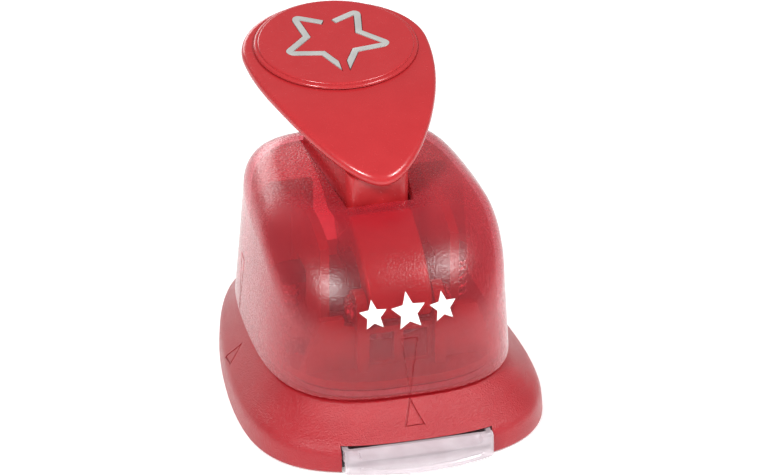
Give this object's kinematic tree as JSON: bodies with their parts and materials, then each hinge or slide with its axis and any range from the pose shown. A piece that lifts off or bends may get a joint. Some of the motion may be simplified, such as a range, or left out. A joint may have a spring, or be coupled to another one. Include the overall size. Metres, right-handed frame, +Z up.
{
  "type": "lever craft punch",
  "caption": "Palm-lever paper punch with a star motif: translucent lift-off head with hinged lever, ram and cutter, on a flared base with die and pull-out chip tray.",
  "frame": {"origin": "centre of the flat underside, on the rubber mat's lower face", "axes": "+Z up, -Y the front where the chip tray comes out, +Y the rear where the lever's pad is, +X to the right seen from the front"},
  "size_m": [0.0726, 0.102, 0.0739],
  "materials": {
    "red_plastic": "moulded red plastic, fine grain, satin gloss",
    "red_lever_plastic": "moulded red plastic, smooth satin gloss",
    "red_clear_plastic": "translucent crimson plastic with a light orange-peel grain",
    "clear_plastic": "clear colourless moulded plastic",
    "grey_plastic": "light grey satin inlay",
    "dark_plastic": "dark moulded plastic",
    "mat_rubber": "solid rubber sheet with a fine matt grain",
    "ground_steel": "ground tool steel",
    "bright_steel": "plain bright steel",
    "magnet_nickel": "nickel-plated magnet"
  },
  "bodies": {
    "base": {"base_shell": "red_plastic", "base_cover": "dark_plastic", "base_mat": "mat_rubber", "die_carrier": "dark_plastic", "die_plate": "ground_steel", "base_magnet_1": "magnet_nickel", "base_magnet_2": "magnet_nickel", "base_magnet_3": "magnet_nickel", "base_magnet_4": "magnet_nickel", "cover_screw_1": "bright_steel", "cover_screw_2": "bright_steel", "cover_screw_3": "bright_steel", "cover_screw_4": "bright_steel", "die_screw_1": "bright_steel", "die_screw_2": "bright_steel", "die_screw_3": "bright_steel", "die_screw_4": "bright_steel"},
    "tray": {"chip_tray": "clear_plastic"},
    "head": {"housing": "red_clear_plastic", "inner_frame": "red_plastic", "guide_plate": "ground_steel", "guide_screw_1": "bright_steel", "guide_screw_2": "bright_steel", "guide_screw_3": "bright_steel", "guide_screw_4": "bright_steel", "head_magnet_1": "magnet_nickel", "head_magnet_2": "magnet_nickel", "head_magnet_3": "magnet_nickel", "head_magnet_4": "magnet_nickel", "pivot_pin": "bright_steel", "pivot_clip_left": "bright_steel", "pivot_clip_right": "bright_steel", "return_spring_left": "bright_steel", "return_spring_right": "bright_steel"},
    "ram": {"ram": "dark_plastic", "star_punch": "ground_steel", "punch_screw_1": "bright_steel", "punch_screw_2": "bright_steel"},
    "lever": {"lever": "red_lever_plastic", "pad_disc": "red_lever_plastic", "star_strip_left": "grey_plastic", "star_strip_right": "grey_plastic", "press_roller": "bright_steel", "roller_pin": "bright_steel"}
  },
  "joints": [
    {"name": "tray_slide", "type": "slide", "parent": "base", "child": "tray", "axis": [0, -1, 0], "range_m": [0, 0.06]},
    {"name": "head_lift", "type": "slide", "parent": "base", "child": "head", "axis": [0, 0, 1], "range_m": [0, 0.06]},
    {"name": "lever_press", "type": "hinge", "parent": "head", "child": "lever", "pos_m": [0, -0.025, 0.033], "axis": [-1, 0, 0], "range_deg": [0, 12], "stiffness_Nm_per_rad": 0.6, "springref_deg": -4.58},
    {"name": "ram_stroke", "type": "slide", "parent": "head", "child": "ram", "axis": [0, 0, -1], "range_m": [0, 0.0054], "deforming": ["return_spring_left", "return_spring_right"]}
  ],
  "couplings": [
    {"joint": "ram_stroke", "follows": "lever_press", "m_per_rad": 0.0251}
  ]
}
